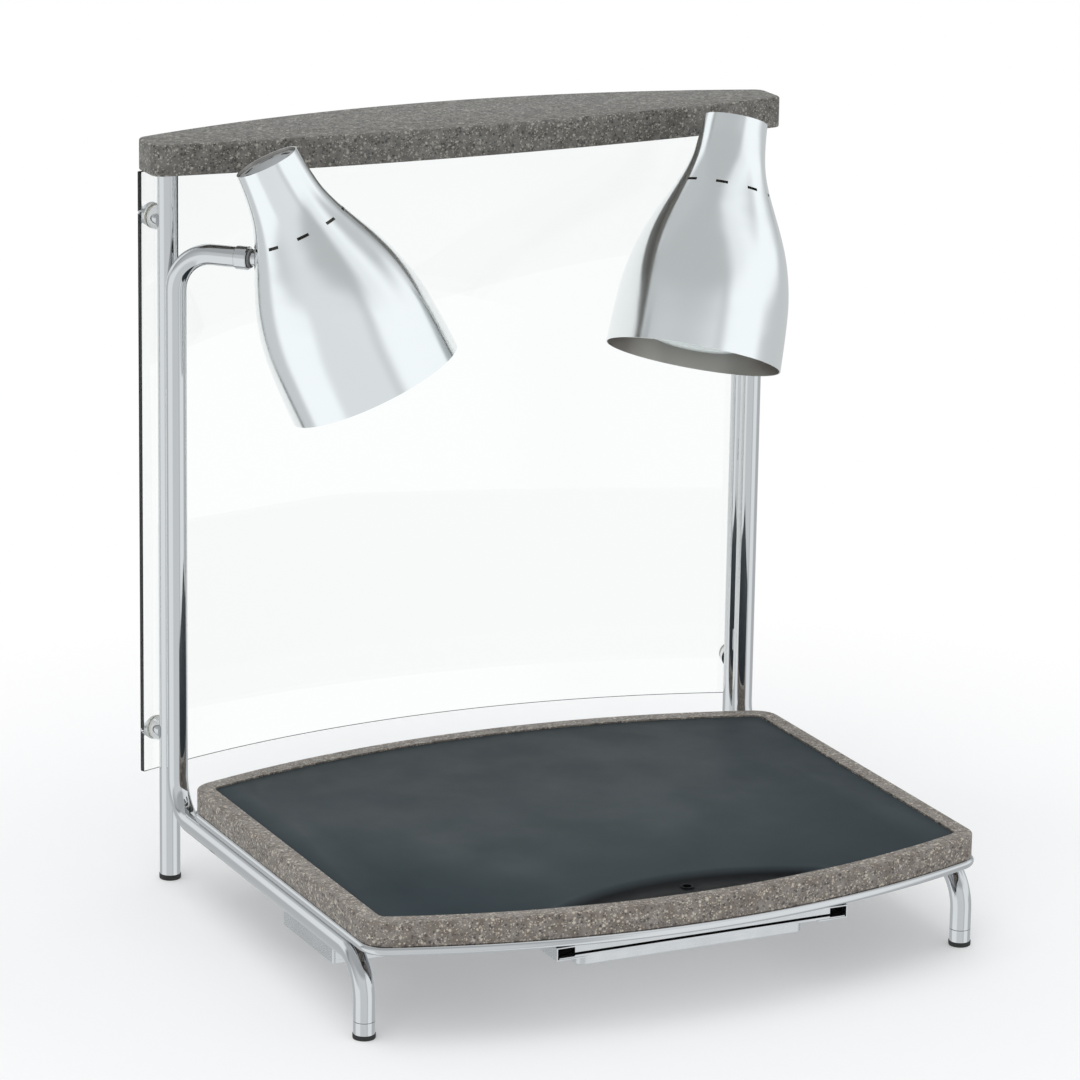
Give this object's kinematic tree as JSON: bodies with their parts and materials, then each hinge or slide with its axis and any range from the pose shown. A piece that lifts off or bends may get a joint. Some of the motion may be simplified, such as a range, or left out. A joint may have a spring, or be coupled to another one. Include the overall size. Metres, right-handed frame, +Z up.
{
  "type": "heated carving station",
  "caption": "Free-standing carving station with a stone-edged hot plate, drip tray, curved clear guard, stone canopy and swivelling heat lamps.",
  "frame": {"origin": "on the floor at the middle of the whole object's length and depth", "axes": "+Z up; the operator and the drip tray are at -Y, the curved guard at +Y; +X is the operator's right"},
  "size_m": [0.7362, 0.6907, 0.8203],
  "materials": {
    "chromed_tube": "bright chrome plate",
    "polished_aluminium": "polished spun aluminium",
    "cap_aluminium": "satin",
    "base_stone": "honed, speckled",
    "canopy_stone": "honed, speckled",
    "plate_surface": "satin dark non-stick coat",
    "stainless": "satin",
    "sheet_steel": "zinc plated",
    "guard_glass": "clear",
    "black_rubber": "matte",
    "bearing_plastic": "matte",
    "black_plastic": "matte",
    "rocker_plastic": "gloss",
    "cream_plastic": "matte",
    "pilot_lens": "translucent amber",
    "heater_foil": "foil",
    "insulation": "mineral fibre",
    "porcelain": "unglazed white",
    "bulb_glass": "frosted",
    "brass_cap": "plain"
  },
  "bodies": {
    "stand": {"base_cover": "sheet_steel", "canopy": "canopy_stone", "canopy_studs": "stainless", "control_box": "stainless", "control_box_plate": "sheet_steel", "cord_gland": "black_plastic", "cover_screws": "stainless", "curved_guard": "guard_glass", "drain_spout": "plate_surface", "edge_rail": "chromed_tube", "front_foot_ferrules": "chromed_tube", "front_foot_pads": "black_rubber", "guard_bolts": "chromed_tube", "guard_standoffs": "chromed_tube", "guard_washers": "bearing_plastic", "heated_plate": "plate_surface", "heater_mat": "heater_foil", "insulation_board": "insulation", "lamp_switch_body": "black_plastic", "left_arm_bush": "bearing_plastic", "left_arm_collar": "chromed_tube", "left_frame_tube": "chromed_tube", "left_post": "chromed_tube", "pilot_light": "pilot_lens", "rear_foot_caps": "black_rubber", "right_arm_bush": "bearing_plastic", "right_arm_collar": "chromed_tube", "right_frame_tube": "chromed_tube", "right_post": "chromed_tube", "stone_base": "base_stone", "terminal_block": "cream_plastic", "thermostat": "sheet_steel", "tray_housing": "stainless", "upright_weld_seams": "chromed_tube"},
    "left_lamp": {"left_shade": "polished_aluminium", "left_shade_cap": "cap_aluminium", "left_friction_washer": "black_rubber", "left_stem": "chromed_tube", "left_stem_nuts": "stainless", "left_shade_hub": "cap_aluminium", "left_holder_bracket": "sheet_steel", "left_lampholder": "porcelain", "left_bulb": "bulb_glass", "left_bulb_base": "brass_cap"},
    "right_lamp": {"right_shade": "polished_aluminium", "right_shade_cap": "cap_aluminium", "right_friction_washer": "black_rubber", "right_stem": "chromed_tube", "right_stem_nuts": "stainless", "right_shade_hub": "cap_aluminium", "right_holder_bracket": "sheet_steel", "right_lampholder": "porcelain", "right_bulb": "bulb_glass", "right_bulb_base": "brass_cap"},
    "tray": {"drip_tray": "stainless"},
    "rocker": {"lamp_rocker": "rocker_plastic"},
    "knob": {"thermostat_knob": "black_plastic"}
  },
  "joints": [
    {"name": "left_lamp_swivel", "type": "hinge", "parent": "stand", "child": "left_lamp", "pos_m": [-0.23124, 0.12084, 0.6965], "axis": [0.682, -0.7314, 0], "range_deg": [-56.5, 33.5]},
    {"name": "right_lamp_swivel", "type": "hinge", "parent": "stand", "child": "right_lamp", "pos_m": [0.23124, 0.12084, 0.6965], "axis": [0.682, 0.7314, 0], "range_deg": [-48.2, 41.8]},
    {"name": "tray_slide", "type": "slide", "parent": "stand", "child": "tray", "axis": [0, -1, 0], "range_m": [0, 0.12]},
    {"name": "lamp_rocker_press", "type": "hinge", "parent": "stand", "child": "rocker", "pos_m": [-0.307, -0.1495, 0.0687], "axis": [1, 0, 0], "range_deg": [0, 21.2]},
    {"name": "thermostat_turn", "type": "hinge", "parent": "stand", "child": "knob", "pos_m": [-0.271, -0.151, 0.0637], "axis": [0, 1, 0], "range_deg": [0, 300]}
  ]
}
